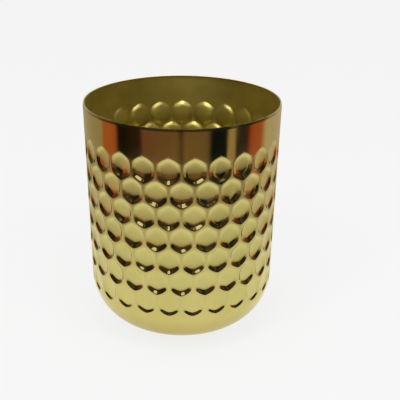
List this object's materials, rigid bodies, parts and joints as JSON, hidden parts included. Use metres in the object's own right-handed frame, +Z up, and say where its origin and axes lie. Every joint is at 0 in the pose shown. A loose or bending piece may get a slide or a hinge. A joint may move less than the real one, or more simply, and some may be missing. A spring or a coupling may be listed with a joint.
{
  "type": "cachepot",
  "caption": "Round brass plant pot cover with a plain band at the mouth, a honeycomb of pressed dimples down its wall and a rounded shoulder, standing on thin pads.",
  "frame": {"origin": "on the pot's axis at the surface that its pads stand on", "axes": "+Z up along the pot's axis towards the mouth, -Y towards the pictured front"},
  "size_m": [0.14, 0.14, 0.1679],
  "materials": {
    "wall_brass": "polished outside, satin inside",
    "disc_brass": "satin",
    "pad_rubber": "matte"
  },
  "bodies": {
    "root": {"honeycomb_wall": "wall_brass", "base_disc": "disc_brass", "foot_pad_front_left": "pad_rubber", "foot_pad_front_right": "pad_rubber", "foot_pad_back_right": "pad_rubber", "foot_pad_back_left": "pad_rubber"}
  },
  "joints": []
}
